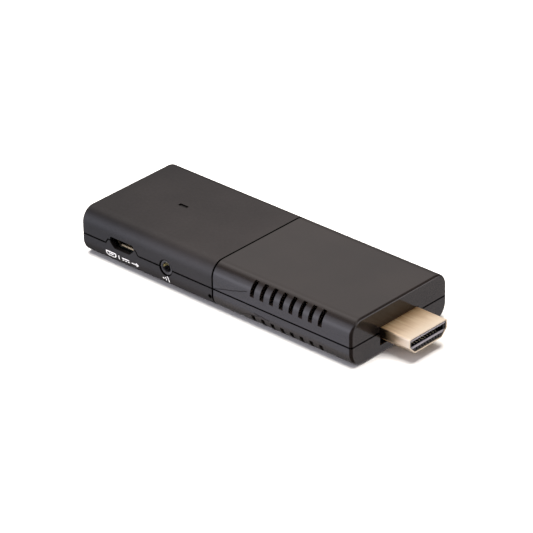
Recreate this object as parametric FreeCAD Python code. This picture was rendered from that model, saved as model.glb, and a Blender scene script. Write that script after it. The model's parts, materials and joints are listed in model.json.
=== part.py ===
import FreeCAD, Part
import math
import os

from FreeCAD import Vector

# Streaming stick: a flat housing of four snapped shells with a video plug at its front end,
# a power socket, an infrared jack and a reset pinhole in one side, and slots for air.
# Sizes are in millimetres. +X runs towards the plug, -Y is the side with the sockets, +Z is up.
# The origin lies on the underside, halfway along the whole length, plug included.

# Housing, outside
body_length = 90.0
body_width = 35.2
body_height = 12.8
top_edge_radius = 3.9
bottom_edge_radius = 4.2
rear_end_fillet = 0.6
front_end_fillet = 0.7
rear_section_length = 44.75
parting_height = 5.95

# Housing, walls and the joints between its shells
wall = 1.3
parting_gap = 0.36
seam_gap = 0.42
lip_clearance = 0.1
lip_height = 0.95
spigot_length = 2.0
bead_radius = 0.2
bead_length = 4.0
bead_above_parting = 0.55
rear_beads_from_rear = (3.9, 22.4, 37.4)
front_beads_from_front = (6.0, 18.5, 31.0)

# Slots for air, two rows on each side of the front section
vent_count = 8
upper_vent_width = 1.3
lower_vent_width = 1.15
vent_pitch = 3.15
last_vent_from_front = 9.9
upper_vent_start_angle = -8.0
upper_vent_end_angle = 60.5
upper_vent_lean = 4.5
lower_vent_start_angle = 13.0
lower_vent_end_angle = 61.0

# Circuit board and the posts that clamp it
board_underside = 4.5
board_thickness = 1.0
board_side_gap = 0.3
board_rear_gap = 0.5
board_corner_radius = 1.0
post_radius = 1.5
post_pin_radius = 0.7
post_pin_height = 1.0
post_pin_clearance = 0.1
post_from_side = 4.1
rear_post_from_rear = 5.1
middle_post_from_seam = 8.0
front_post_from_front = 7.25

# Video plug
plug_reach = 9.15
plug_length = 12.8
plug_width = 13.9
plug_height = 4.45
plug_underside = 2.8
plug_corner_cut = 1.95
plug_corner_radius = 0.5
plug_metal = 0.3
plug_board_gap = 0.6
plug_ear_length = 3.6
plug_ear_below_board = 0.6
plug_ear_above_board = 1.2
plug_slot_clearance = 0.1
plug_opening_side_gap = 0.15
plug_opening_end_gap = 0.4
plug_opening_top_gap = 0.15

# Insulator inside the plug, with its contacts
insulator_recess = 0.3
insulator_clearance = 0.05
plug_cavity_width = 11.8
plug_cavity_height = 1.45
plug_cavity_above_underside = 1.85
plug_cavity_depth = 7.0
contact_pitch = 1.0
upper_contact_count = 10
lower_contact_count = 9
contact_width = 0.3
contact_metal = 0.15
contact_proud = 0.08
contact_channel_clearance = 0.05
contact_from_face = 0.65
contact_tail_on_board = 2.2
comb_notch_width = 0.4
upper_notch_height = 0.4
lower_notch_height = 0.9
comb_notch_depth = 1.0

# Micro-USB power socket
usb_from_rear = 13.82
usb_width = 7.5
usb_height = 2.45
usb_length = 5.0
usb_corner_cut = 1.25
usb_corner_radius = 0.4
usb_metal = 0.3
usb_opening_clearance = 0.27
usb_mouth_inset = 0.4
usb_lead_in_slope = 60.0
usb_back_depth = 1.2
usb_tongue_width = 3.8
usb_tongue_thickness = 0.6
usb_tongue_from_mouth = 0.6
usb_contact_count = 5
usb_contact_pitch = 0.65
usb_contact_width = 0.25
usb_contact_metal = 0.12
usb_tail_run = 0.5
usb_tail_on_board = 0.8
usb_leg_from_mouth = 1.5
usb_leg_length = 2.0
usb_leg_height = 1.5
usb_foot_width = 0.85
tab_rise = 1.2
tab_foot_half_width = 5.6
tab_head_half_width = 4.8

# Infrared jack, for a 2.5 mm plug
jack_from_rear = 28.95
jack_height = 6.05
jack_bore_diameter = 2.6
jack_bore_depth = 11.4
jack_bore_chamfer = 0.15
jack_bushing_diameter = 3.8
jack_bushing_recess = 0.3
jack_hole_clearance = 0.2
jack_body_width = 5.0
jack_body_height = 4.3
jack_back_wall = 1.0
jack_body_wall_gap = 0.3
jack_board_clearance = 0.2
jack_ledge_width = 0.8
jack_ledge_length = 2.0
jack_ledge_height = 0.8
jack_contact_metal = 0.2
jack_contact_length = 1.0
jack_contact_rise = 1.4
jack_contact_proud = 0.1
jack_contact_foot = 1.2
jack_contact_clearance = 0.05
jack_tip_from_mouth = 0.4
jack_tip_height = 0.7
jack_left_contacts_from_back = (10.9, 5.6)
jack_right_contacts_from_back = (7.3,)

# Reset switch under the board, and the pinhole that reaches it
pinhole_behind_seam = 0.94
pinhole_height = 3.49
pinhole_diameter = 0.95
switch_from_board_edge = 1.0
switch_width = 4.4
switch_depth = 2.9
switch_height = 1.9
switch_wall = 0.4
switch_roof = 0.5
switch_clearance = 0.1
switch_metal = 0.15
switch_ear_height = 1.3
plunger_nose_width = 1.1
plunger_nose_reach = 0.6
plunger_head_width = 2.2
plunger_head_length = 1.35
plunger_rest_gap = 0.05
dome_metal = 0.1
dome_rise = 0.5
terminal_reach = 0.7
terminal_width = 0.6
terminal_metal = 0.2

# Light guide over the status light
light_from_rear = 18.6
light_slot_length = 2.8
light_slot_width = 1.0
light_guide_clearance = 0.05
light_guide_recess = 0.25
light_guide_flange_overhang = 0.5
light_guide_flange_thickness = 0.5
light_guide_gap = 0.4
led_length = 1.6
led_width = 0.8
led_height = 0.6

# Processor with its cooling
processor_from_front = 26.25
processor_size = 15.0
processor_height = 1.2
thermal_pad_thickness = 0.3
heat_sink_size = 24.0
heat_sink_base = 1.2
heat_sink_fin_count = 9
heat_sink_fin_thickness = 0.8
heat_sink_top_clearance = 0.5

# Other chips and small parts on the board
chip_edge_chamfer = 0.1
pin_mark_radius = 0.3
pin_mark_depth = 0.05
pin_mark_from_edge = 0.9
memory_length = 8.0
memory_width = 11.5
memory_height = 1.0
memory_spacing = 13.6
memory_from_processor = 1.0
flash_length = 11.5
flash_width = 13.0
flash_height = 1.0
power_chip_size = 5.0
power_chip_height = 0.85
power_from_rear = 22.7
inductor_size = 4.0
inductor_height = 2.0
inductor_spacing = 11.0
inductor_corner_cut = 0.8
inductor_core_diameter = 2.6
inductor_core_height = 0.3
bulk_capacitor_length = 3.5
bulk_capacitor_width = 2.8
bulk_capacitor_height = 1.9
bulk_capacitor_from_side = (3.6, 7.2)
bulk_capacitor_from_rear = 20.9
crystal_length = 3.2
crystal_width = 2.5
crystal_base_height = 0.4
crystal_lid_height = 0.4
crystal_lid_inset = 0.2
crystal_from_rear = 34.3
crystal_from_centre = 4.0
ceramic_length = 1.6
ceramic_width = 0.8
ceramic_height = 0.8
ceramic_count = 7
ceramic_pitch = 3.0
ceramic_row_from_front = 23.25
ceramic_row_from_side = 3.4
resistor_length = 1.0
resistor_width = 0.5
resistor_height = 0.35
resistor_count = 8
resistor_pitch = 2.0
resistor_from_front = 8.95
end_cap_length = 0.25
end_cap_thickness = 0.03
protection_length = 1.4
protection_width = 3.0
protection_height = 0.6
protection_spacing = 6.0
protection_from_front = 11.75

# Wireless module and its antenna
wireless_size = 12.0
wireless_board_thickness = 0.6
wireless_from_rear = 13.5
wireless_from_centre = 8.5
shield_inset = 0.7
shield_height = 1.6
shield_metal = 0.2
shield_corner_radius = 0.5
antenna_from_board_end = 0.8
antenna_metal = 0.2
antenna_length = 16.0
antenna_height = 4.0
antenna_bar_height = 1.8
antenna_leg_width = 1.0
antenna_leg_spacing = 4.0

# Seam where the folded sheet of a connector's shell meets
shell_seam_gap = 0.1

# How far a cutting tool runs past the face that it cuts
past = 0.5

# Places that follow from the sizes above
rear_x = -(body_length + plug_reach) / 2
front_x = rear_x + body_length
seam_x = rear_x + rear_section_length
plug_tip_x = front_x + plug_reach
plug_rear_x = plug_tip_x - plug_length
side_y = body_width / 2
ceiling = body_height - wall
rebate_inset = (wall - lip_clearance) / 2
lip_inset = (wall + lip_clearance) / 2
board_top = board_underside + board_thickness
board_side_y = side_y - wall - board_side_gap
board_rear_x = rear_x + wall + board_rear_gap
board_front_x = plug_rear_x - plug_board_gap
plug_top = plug_underside + plug_height
usb_x = rear_x + usb_from_rear
jack_x = rear_x + jack_from_rear
jack_front_y = -side_y + jack_bushing_recess
jack_back_y = jack_front_y + jack_bore_depth + jack_back_wall
switch_x = seam_x - pinhole_behind_seam
switch_front_y = -board_side_y + switch_from_board_edge
switch_low = board_underside - switch_height
light_x = rear_x + light_from_rear
processor_x = front_x - processor_from_front
post_y = side_y - post_from_side
rear_post_x = rear_x + rear_post_from_rear
middle_post_x = seam_x - middle_post_from_seam
front_post_x = front_x - front_post_from_front
everywhere = body_length + plug_reach


def box(x0, x1, y0, y1, z0, z1):
    """Block between two limits on each axis."""
    return Part.makeBox(x1 - x0, y1 - y0, z1 - z0, Vector(x0, y0, z0))


def block(x, y, z, length, width, height):
    """Block centred on x and y that stands on z."""
    return box(x - length / 2, x + length / 2, y - width / 2, y + width / 2, z, z + height)


def upright(x, y, z0, z1, radius):
    """Upright cylinder from z0 to z1."""
    return Part.makeCylinder(radius, z1 - z0, Vector(x, y, z0))


def fuse(shapes):
    """One solid from several that overlap."""
    return shapes[0].fuse(shapes[1:]).removeSplitter()


def cut(shape, tools):
    """The shape without what the tools take away."""
    return shape.cut(Part.makeCompound(tools))


def face_of(points):
    """Flat face inside a closed outline of straight lines."""
    return Part.Face(Part.makePolygon(points + points[:1]))


def both_sides(shape):
    """The shape and its mirror image across the middle plane."""
    return [shape, shape.mirror(Vector(0, 0, 0), Vector(0, 1, 0))]


def behind(x):
    """All space behind x, towards the rear end."""
    return box(-everywhere, x, -everywhere, everywhere, -everywhere, everywhere)


def ahead(x):
    """All space ahead of x, towards the plug."""
    return box(x, everywhere, -everywhere, everywhere, -everywhere, everywhere)


# Housing


def corner_arc(y, z, radius, start_angle):
    """Quarter circle in the plane across the housing, and its two end points."""
    points = []
    for angle in (start_angle, start_angle + 45, start_angle + 90):
        turn = math.radians(angle)
        points.append(Vector(0, y + radius * math.cos(turn), z + radius * math.sin(turn)))
    return Part.Arc(*points).toShape(), points[0], points[-1]


def section_outline(inset):
    """Outline across the housing, moved inwards by the inset."""
    top_radius = top_edge_radius - inset
    bottom_radius = bottom_edge_radius - inset
    top_y = side_y - top_edge_radius
    top_z = body_height - top_edge_radius
    bottom_y = side_y - bottom_edge_radius
    bottom_z = bottom_edge_radius
    arcs = [
        corner_arc(bottom_y, bottom_z, bottom_radius, -90),
        corner_arc(top_y, top_z, top_radius, 0),
        corner_arc(-top_y, top_z, top_radius, 90),
        corner_arc(-bottom_y, bottom_z, bottom_radius, 180),
    ]
    edges = []
    for number, (arc, _, end) in enumerate(arcs):
        next_start = arcs[(number + 1) % len(arcs)][1]
        edges.append(arc)
        edges.append(Part.makeLine(end, next_start))
    return Part.Wire(edges)


def housing_block(inset):
    """Solid with the housing's form, smaller by the inset on every side."""
    face = Part.Face(section_outline(inset))
    face.translate(Vector(rear_x + inset, 0, 0))
    return face.extrude(Vector(body_length - 2 * inset, 0, 0))


def edges_at(solid, x):
    """Edges that lie in the plane across the housing at x."""
    near = 1e-4
    return [e for e in solid.Edges if all(abs(v.X - x) < near for v in e.Vertexes)]


def outer_block():
    """The housing as one block, with the small fillets round both ends."""
    solid = housing_block(0)
    solid = solid.makeFillet(rear_end_fillet, edges_at(solid, rear_x))
    return solid.makeFillet(front_end_fillet, edges_at(solid, front_x))


def below_parting(offset):
    """All space under the parting line, which steps up round the power socket."""
    level = parting_height + offset
    slope = (tab_foot_half_width - tab_head_half_width) / tab_rise
    wider = offset * (math.hypot(1, slope) - slope)
    foot = tab_foot_half_width + wider
    head = tab_head_half_width + wider
    tab = face_of([
        Vector(usb_x - foot, -everywhere, level),
        Vector(usb_x + foot, -everywhere, level),
        Vector(usb_x + head, -everywhere, level + tab_rise),
        Vector(usb_x - head, -everywhere, level + tab_rise),
    ]).extrude(Vector(0, everywhere - side_y + 2 * wall, 0))
    low = box(-everywhere, everywhere, -everywhere, everywhere, -everywhere, level)
    return low.fuse(tab).removeSplitter()


def snap_bead(x, clearance):
    """Rounded ridge along the outside of the lip, on both sides of the housing."""
    length = bead_length + 2 * clearance
    start = Vector(x - length / 2, side_y - lip_inset, parting_height + bead_above_parting)
    return both_sides(Part.makeCylinder(bead_radius + clearance, length, start, Vector(1, 0, 0)))


def snap_beads(places, clearance):
    """Ridges at every place on both sides."""
    beads = []
    for x in places:
        beads += snap_bead(x, clearance)
    return beads


def rear_bead_places():
    return [rear_x + distance for distance in rear_beads_from_rear]


def front_bead_places():
    return [front_x - distance for distance in front_beads_from_front]


def board_posts_below(x):
    """Two posts that carry the board, each with a pin through it."""
    posts = []
    for y in (-post_y, post_y):
        posts.append(upright(x, y, wall / 2, board_underside, post_radius))
        posts.append(upright(x, y, wall / 2, board_top + post_pin_height, post_pin_radius))
    return posts


def board_posts_above(x):
    """Two hollow posts that press on the board, round the pins."""
    posts = []
    for y in (-post_y, post_y):
        post = upright(x, y, board_top, body_height - wall / 2, post_radius)
        socket_radius = post_pin_radius + post_pin_clearance
        socket_top = board_top + post_pin_height + post_pin_clearance
        posts.append(post.cut(upright(x, y, board_top, socket_top, socket_radius)))
    return posts


def vent(x, width, corner_y, corner_z, radius, start_angle, end_angle, lean):
    """Cutter for one slot with square ends that wraps a corner between two angles and leans a little."""
    inner = radius - wall - past
    outer = radius + past
    centre = Vector(x, corner_y, corner_z)
    half = Vector(width / 2, 0, 0)
    turn = math.radians(start_angle)
    outwards = Vector(0, math.cos(turn), math.sin(turn))
    start = face_of([
        centre + outwards * inner - half,
        centre + outwards * inner + half,
        centre + outwards * outer + half,
        centre + outwards * outer - half,
    ])
    cutter = start.revolve(centre, Vector(1, 0, 0), end_angle - start_angle)
    middle = math.radians((start_angle + end_angle) / 2)
    cutter.rotate(centre, Vector(0, math.cos(middle), math.sin(middle)), lean)
    return cutter


def vents(width, corner_y, corner_z, radius, start_angle, end_angle, lean):
    """Cutters for one row of slots and the same row on the other side."""
    cutters = []
    for number in range(vent_count):
        x = front_x - last_vent_from_front - number * vent_pitch
        cutters += both_sides(vent(x, width, corner_y, corner_z, radius, start_angle, end_angle, lean))
    return cutters


def upper_vents():
    corner_y = side_y - top_edge_radius
    corner_z = body_height - top_edge_radius
    return vents(
        upper_vent_width, corner_y, corner_z, top_edge_radius,
        upper_vent_start_angle, upper_vent_end_angle, upper_vent_lean)


def lower_vents():
    corner_y = side_y - bottom_edge_radius
    corner_z = bottom_edge_radius
    return vents(
        lower_vent_width, corner_y, corner_z, bottom_edge_radius,
        -lower_vent_start_angle, -lower_vent_end_angle, 0)


def usb_opening():
    """Hole in the side wall in front of the power socket."""
    y = -side_y - past
    return usb_prism(-usb_opening_clearance, y, past + wall + past)


def jack_opening():
    """Round hole in the side wall for the jack's bushing."""
    radius = jack_bushing_diameter / 2 + jack_hole_clearance
    start = Vector(jack_x, -side_y - past, jack_height)
    return Part.makeCylinder(radius, past + wall + past, start, Vector(0, 1, 0))


def pinhole():
    """Round hole in the side wall in front of the reset switch."""
    start = Vector(switch_x, -side_y - past, pinhole_height)
    return Part.makeCylinder(pinhole_diameter / 2, past + wall + past, start, Vector(0, 1, 0))


def light_slot(clearance, z0, z1):
    """Upright prism with round ends, as the slot over the status light."""
    radius = light_slot_width / 2 - clearance
    half_run = (light_slot_length - light_slot_width) / 2
    ends = [upright(light_x - half_run, 0, z0, z1, radius), upright(light_x + half_run, 0, z0, z1, radius)]
    middle = box(light_x - half_run, light_x + half_run, -radius, radius, z0, z1)
    return fuse([middle] + ends)


def plug_opening():
    """Square-cornered hole in the front wall round the video plug."""
    half = plug_width / 2 + plug_opening_side_gap
    low = plug_underside - plug_opening_end_gap
    high = plug_top + plug_opening_top_gap
    return box(front_x - wall - past, front_x + past, -half, half, low, high)


def rear_lower_shell(outer, liner):
    """Rear half of the bottom: wall, lip along the parting line and spigot under the front cover."""
    skin = outer.common(behind(seam_x - seam_gap / 2)).common(below_parting(-parting_gap / 2))
    lip = liner.common(behind(seam_x + spigot_length)).common(below_parting(lip_height))
    beads = snap_beads(rear_bead_places(), 0)
    posts = board_posts_below(rear_post_x) + board_posts_below(middle_post_x)
    shell = fuse([skin, lip] + beads + posts)
    return cut(shell, [usb_opening(), jack_opening(), pinhole()])


def rear_upper_shell(outer, core, liner):
    """Rear half of the top, rebated for the lip, with its own spigot and the light slot."""
    skin = outer.common(behind(seam_x - seam_gap / 2)).cut(below_parting(parting_gap / 2))
    skin = skin.cut(core.common(below_parting(lip_height)))
    spigot = liner.common(behind(seam_x + spigot_length)).cut(below_parting(lip_height))
    posts = board_posts_above(rear_post_x) + board_posts_above(middle_post_x)
    shell = fuse([skin, spigot] + posts)
    tools = snap_beads(rear_bead_places(), lip_clearance)
    tools += [usb_opening(), jack_opening(), light_slot(0, ceiling - past, body_height + past)]
    return cut(shell, tools)


def front_lower_cover(outer, core, liner):
    """Front half of the bottom, rebated for the spigot, with a lip and its slots."""
    spigot_end = seam_x + spigot_length + lip_clearance
    skin = outer.common(ahead(seam_x + seam_gap / 2)).common(below_parting(-parting_gap / 2))
    skin = skin.cut(core.common(behind(spigot_end)))
    lip = liner.common(ahead(spigot_end)).common(below_parting(lip_height))
    cover = fuse([skin, lip] + snap_beads(front_bead_places(), 0) + board_posts_below(front_post_x))
    return cut(cover, [plug_opening()] + lower_vents())


def front_upper_cover(outer, core):
    """Front half of the top, rebated for the spigot and the lip, with its slots."""
    spigot_end = seam_x + spigot_length + lip_clearance
    skin = outer.common(ahead(seam_x + seam_gap / 2)).cut(below_parting(parting_gap / 2))
    skin = skin.cut(core.common(behind(spigot_end))).cut(core.common(below_parting(lip_height)))
    cover = fuse([skin] + board_posts_above(front_post_x))
    return cut(cover, snap_beads(front_bead_places(), lip_clearance) + [plug_opening()] + upper_vents())


def housing_shells():
    """The four shells, cut from one hollow block."""
    cavity = housing_block(wall)
    core = housing_block(rebate_inset)
    outer = outer_block().cut(cavity)
    liner = housing_block(lip_inset).cut(cavity)
    return {
        "rear_upper_shell": rear_upper_shell(outer, core, liner),
        "rear_lower_shell": rear_lower_shell(outer, liner),
        "front_upper_cover": front_upper_cover(outer, core),
        "front_lower_cover": front_lower_cover(outer, core, liner),
    }


# Circuit board


def main_board():
    """Board with its pin holes, a notch for the jack and two slots for the plug's ears."""
    board = box(board_rear_x, board_front_x, -board_side_y, board_side_y, board_underside, board_top)
    corners = [e for e in board.Edges if abs(e.Vertexes[0].Z - e.Vertexes[1].Z) > board_thickness / 2]
    board = board.makeFillet(board_corner_radius, corners)
    low = board_underside - past
    high = board_top + past
    tools = []
    for x in (rear_post_x, middle_post_x, front_post_x):
        for y in (-post_y, post_y):
            tools.append(upright(x, y, low, high, post_pin_radius + post_pin_clearance))
    half = jack_body_width / 2 + jack_board_clearance
    notch_end = jack_back_y + jack_board_clearance
    tools.append(box(jack_x - half, jack_x + half, -side_y, notch_end, low, high))
    slot_start = plug_rear_x - plug_ear_length - plug_slot_clearance
    slot_inner = plug_width / 2 - plug_metal - plug_slot_clearance
    slot_outer = plug_width / 2 + plug_slot_clearance
    tools += both_sides(box(slot_start, plug_rear_x, slot_inner, slot_outer, low, high))
    return cut(board, tools)


# Connectors with a D-shaped mouth


def d_outline(width, height, corner_cut, inset):
    """Points across and up of a rectangle with its two lower corners cut off, centred at the foot."""
    half = width / 2 - inset
    cut_leg = corner_cut - inset * (2 - math.sqrt(2))
    low = inset
    high = height - inset
    return [
        (-half + cut_leg, low),
        (half - cut_leg, low),
        (half, low + cut_leg),
        (half, high),
        (-half, high),
        (-half, low + cut_leg),
    ]


def rounded_along(solid, direction, radius):
    """The solid with the edges along a direction rounded."""
    edges = [e for e in solid.Edges if e.tangentAt(e.FirstParameter).cross(direction).Length < 1e-6]
    return solid.makeFillet(radius, edges)


def plug_prism(inset, x, length):
    """Part of the video plug's form, from x onwards."""
    outline = d_outline(plug_width, plug_height, plug_corner_cut, inset)
    points = [Vector(x, across, plug_underside + up) for across, up in outline]
    solid = face_of(points).extrude(Vector(length, 0, 0))
    return rounded_along(solid, Vector(1, 0, 0), plug_corner_radius - inset / 2)


def usb_prism(inset, y, length):
    """Part of the power socket's form, from y inwards."""
    outline = d_outline(usb_width, usb_height, usb_corner_cut, inset)
    points = [Vector(usb_x + across, y, board_top + up) for across, up in outline]
    solid = face_of(points).extrude(Vector(0, length, 0))
    return rounded_along(solid, Vector(0, 1, 0), usb_corner_radius - inset / 2)


def strip(path, metal, across, width, runs_along_x):
    """Bent flat strip of metal whose middle follows a path of (run, height) points."""
    upper = [(run, height + metal / 2) for run, height in path]
    lower = [(run, height - metal / 2) for run, height in reversed(path)]
    start = across - width / 2
    if runs_along_x:
        points = [Vector(run, start, height) for run, height in upper + lower]
        return face_of(points).extrude(Vector(0, width, 0))
    points = [Vector(start, run, height) for run, height in upper + lower]
    return face_of(points).extrude(Vector(width, 0, 0))


def hdmi_plug_shell():
    """Formed metal shell with two ears that straddle the board's edge."""
    outside = plug_prism(0, plug_rear_x, plug_length)
    inside = plug_prism(plug_metal, plug_rear_x - past, plug_length + 2 * past)
    half = plug_width / 2
    ear = box(
        plug_rear_x - plug_ear_length, plug_rear_x + plug_metal, half - plug_metal, half,
        board_underside - plug_ear_below_board, board_top + plug_ear_above_board)
    ear = ear.cut(box(plug_rear_x, everywhere, 0, everywhere, 0, plug_underside + plug_corner_cut))
    seam = box(
        plug_rear_x - past, plug_tip_x + past, -shell_seam_gap / 2, shell_seam_gap / 2,
        plug_underside - past, plug_underside + plug_metal + insulator_clearance / 2)
    return fuse([outside.cut(inside)] + both_sides(ear)).cut(seam)


def contact_places(count, pitch):
    """Evenly spaced places across, centred on the middle."""
    return [(number - (count - 1) / 2) * pitch for number in range(count)]


def upper_strip_height():
    cavity_top = plug_underside + plug_cavity_above_underside + plug_cavity_height
    return cavity_top - contact_proud + contact_metal / 2


def lower_strip_height():
    return plug_underside + plug_cavity_above_underside + contact_proud - contact_metal / 2


def insulator_face_x():
    return plug_tip_x - insulator_recess


def contact_channels(count, height):
    """Grooves that hold one row of contacts along the insulator."""
    half_width = contact_width / 2 + contact_channel_clearance
    half_height = contact_metal / 2 + contact_channel_clearance
    x0 = plug_rear_x - past
    x1 = insulator_face_x() - contact_from_face + contact_channel_clearance
    channels = []
    z0 = height - half_height
    z1 = height + half_height
    for y in contact_places(count, contact_pitch):
        channels.append(box(x0, x1, y - half_width, y + half_width, z0, z1))
    return channels


def comb_notches(count, z0, z1):
    """Open notches in the insulator's front edge, one over each contact."""
    x0 = insulator_face_x() - comb_notch_depth
    half = comb_notch_width / 2
    notches = []
    for y in contact_places(count, contact_pitch):
        notches.append(box(x0, plug_tip_x, y - half, y + half, z0, z1))
    return notches


def hdmi_plug_insulator():
    """Moulded comb that fills the plug's shell and holds the contacts in two rows."""
    inset = plug_metal + insulator_clearance
    body = plug_prism(inset, plug_rear_x, plug_length - insulator_recess)
    low = plug_underside + plug_cavity_above_underside
    half = plug_cavity_width / 2
    cavity = box(
        insulator_face_x() - plug_cavity_depth, plug_tip_x, -half, half, low, low + plug_cavity_height)
    top = plug_top - inset
    bottom = plug_underside + inset
    tools = [cavity]
    tools += contact_channels(upper_contact_count, upper_strip_height())
    tools += contact_channels(lower_contact_count, lower_strip_height())
    tools += comb_notches(upper_contact_count, top - upper_notch_height, top + past)
    tools += comb_notches(lower_contact_count, bottom - past, bottom + lower_notch_height)
    return cut(body, tools)


def plug_contacts(count, strip_height, tail_height):
    """One row of contacts: in the channels, then bent to the face of the board."""
    path = [
        (board_front_x - contact_tail_on_board, tail_height),
        (board_front_x, tail_height),
        (plug_rear_x, strip_height),
        (insulator_face_x() - contact_from_face, strip_height),
    ]
    places = contact_places(count, contact_pitch)
    return Part.makeCompound([strip(path, contact_metal, y, contact_width, True) for y in places])


def hdmi_upper_contacts():
    return plug_contacts(upper_contact_count, upper_strip_height(), board_top + contact_metal / 2)


def hdmi_lower_contacts():
    return plug_contacts(lower_contact_count, lower_strip_height(), board_underside - contact_metal / 2)


def usb_mouth_y():
    return -board_side_y + usb_mouth_inset


def usb_back_y():
    return usb_mouth_y() + usb_length


def usb_lead_in():
    """Cutter that slopes the lower lip of the power socket's mouth, which guides a plug in."""
    slope = math.radians(usb_lead_in_slope)
    along = Vector(0, math.cos(slope), math.sin(slope))
    start = Vector(usb_x - usb_width / 2 + usb_corner_cut + usb_corner_radius, usb_mouth_y(), board_top)
    end = start + along * (usb_metal / math.sin(slope))
    low = start - along * past
    high = end + along * past
    outer = Vector(low.x, low.y, high.z)
    width = usb_width - 2 * (usb_corner_cut + usb_corner_radius)
    return face_of([low, high, outer]).extrude(Vector(width, 0, 0))


def usb_socket_shell():
    """Formed metal shell of the power socket, with a soldered foot on each side."""
    outside = usb_prism(0, usb_mouth_y(), usb_length)
    inside = usb_prism(usb_metal, usb_mouth_y() - past, usb_length + 2 * past)
    half = usb_width / 2
    y0 = usb_mouth_y() + usb_leg_from_mouth
    y1 = y0 + usb_leg_length
    legs = []
    for side in (-1, 1):
        inner = usb_x + side * (half - usb_metal)
        outer = usb_x + side * half
        end = usb_x + side * (half + usb_foot_width)
        leg_top = board_top + usb_leg_height
        foot_top = board_top + usb_metal
        legs.append(box(min(inner, outer), max(inner, outer), y0, y1, board_top, leg_top))
        legs.append(box(min(inner, end), max(inner, end), y0, y1, board_top, foot_top))
    seam = box(
        usb_x - shell_seam_gap / 2, usb_x + shell_seam_gap / 2, usb_mouth_y() - past, usb_back_y() + past,
        board_top - past, board_top + usb_metal + insulator_clearance / 2)
    return cut(fuse([outside.cut(inside)] + legs), [seam, usb_lead_in()])


def usb_tongue_low():
    return board_top + (usb_height - usb_tongue_thickness) / 2


def usb_contact_height():
    return usb_tongue_low() - usb_contact_metal / 2


def usb_socket_tongue():
    """Moulded back of the power socket with the tongue that carries the contacts."""
    inset = usb_metal + insulator_clearance
    back = usb_prism(inset, usb_back_y() - usb_back_depth, usb_back_depth)
    half = usb_tongue_width / 2
    low = usb_tongue_low()
    tongue = box(
        usb_x - half, usb_x + half, usb_mouth_y() + usb_tongue_from_mouth,
        usb_back_y() - usb_back_depth / 2, low, low + usb_tongue_thickness)
    half_slot = usb_contact_width / 2 + contact_channel_clearance
    slot_low = low - usb_contact_metal - contact_channel_clearance
    slots = []
    for across in contact_places(usb_contact_count, usb_contact_pitch):
        x = usb_x + across
        slots.append(box(x - half_slot, x + half_slot, usb_mouth_y(), usb_back_y() + past, slot_low, low))
    return cut(fuse([back, tongue]), slots)


def usb_socket_contacts():
    """Five contacts under the tongue, bent down to the board behind the socket."""
    tail_height = board_top + usb_contact_metal / 2
    path = [
        (usb_mouth_y() + usb_tongue_from_mouth, usb_contact_height()),
        (usb_back_y(), usb_contact_height()),
        (usb_back_y() + usb_tail_run, tail_height),
        (usb_back_y() + usb_tail_run + usb_tail_on_board, tail_height),
    ]
    contacts = []
    for across in contact_places(usb_contact_count, usb_contact_pitch):
        contacts.append(strip(path, usb_contact_metal, usb_x + across, usb_contact_width, False))
    return Part.makeCompound(contacts)


# Infrared jack


def jack_contact(side, from_back, clearance):
    """Contact that runs in from its foot on the board and stands up beside the bore."""
    foot_end = jack_body_width / 2 + jack_contact_foot + clearance
    leaf_inner = jack_bore_diameter / 2 - jack_contact_proud
    leaf_outer = leaf_inner + jack_contact_metal + clearance
    low = board_top - clearance
    y0 = jack_back_y - from_back - clearance
    y1 = y0 + jack_contact_length + 2 * clearance
    outline = [
        (foot_end, low),
        (leaf_inner, low),
        (leaf_inner, board_top + jack_contact_rise + clearance),
        (leaf_outer, board_top + jack_contact_rise + clearance),
        (leaf_outer, board_top + jack_contact_metal + clearance),
        (foot_end, board_top + jack_contact_metal + clearance),
    ]
    points = [Vector(jack_x + side * across, y0, z) for across, z in outline]
    return face_of(points).extrude(Vector(0, y1 - y0, 0))


def jack_contact_tip(clearance):
    """Tip of the foremost contact, which runs forward beside the bore into the bushing."""
    inner = jack_x - jack_bore_diameter / 2 + jack_contact_proud
    outer = inner - jack_contact_metal - clearance
    y0 = jack_front_y + jack_tip_from_mouth - clearance
    y1 = jack_back_y - jack_left_contacts_from_back[0] + jack_contact_length / 2
    half = jack_tip_height / 2 + clearance
    return box(outer, inner, y0, y1, jack_height - half, jack_height + half)


def jack_contacts(clearance):
    """Two contacts on the left of the bore, the foremost with a tip, and one on the right."""
    left = [jack_contact(-1, place, clearance) for place in jack_left_contacts_from_back]
    left[0] = fuse([left[0], jack_contact_tip(clearance)])
    right = [jack_contact(1, place, clearance) for place in jack_right_contacts_from_back]
    return left + right


def infrared_jack_body():
    """Moulded body let into a notch in the board, with its bushing in the side wall."""
    half = jack_body_width / 2
    low = jack_height - jack_body_height / 2
    body_front_y = -side_y + wall + jack_body_wall_gap
    body = box(jack_x - half, jack_x + half, body_front_y, jack_back_y, low, low + jack_body_height)
    inwards = Vector(0, 1, 0)
    front = Vector(jack_x, jack_front_y, jack_height)
    bushing = Part.makeCylinder(
        jack_bushing_diameter / 2, body_front_y - jack_front_y + past, front, inwards)
    ledge_half = half + jack_ledge_width
    ledge = box(
        jack_x - ledge_half, jack_x + ledge_half, jack_back_y - jack_ledge_length, jack_back_y,
        board_top, board_top + jack_ledge_height)
    bore_radius = jack_bore_diameter / 2
    bore = Part.makeCylinder(bore_radius, jack_bore_depth, front, inwards)
    mouth = Part.makeCone(bore_radius + jack_bore_chamfer, bore_radius, jack_bore_chamfer, front, inwards)
    return cut(fuse([body, bushing, ledge]), [bore, mouth] + jack_contacts(jack_contact_clearance))


def infrared_jack_contacts():
    return Part.makeCompound(jack_contacts(0))


# Reset switch


def switch_slot_top():
    return board_underside - switch_roof


def plunger_head_front_y():
    return switch_front_y + switch_wall + plunger_rest_gap


def plunger_head_back_y():
    return plunger_head_front_y() + plunger_head_length


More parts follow.
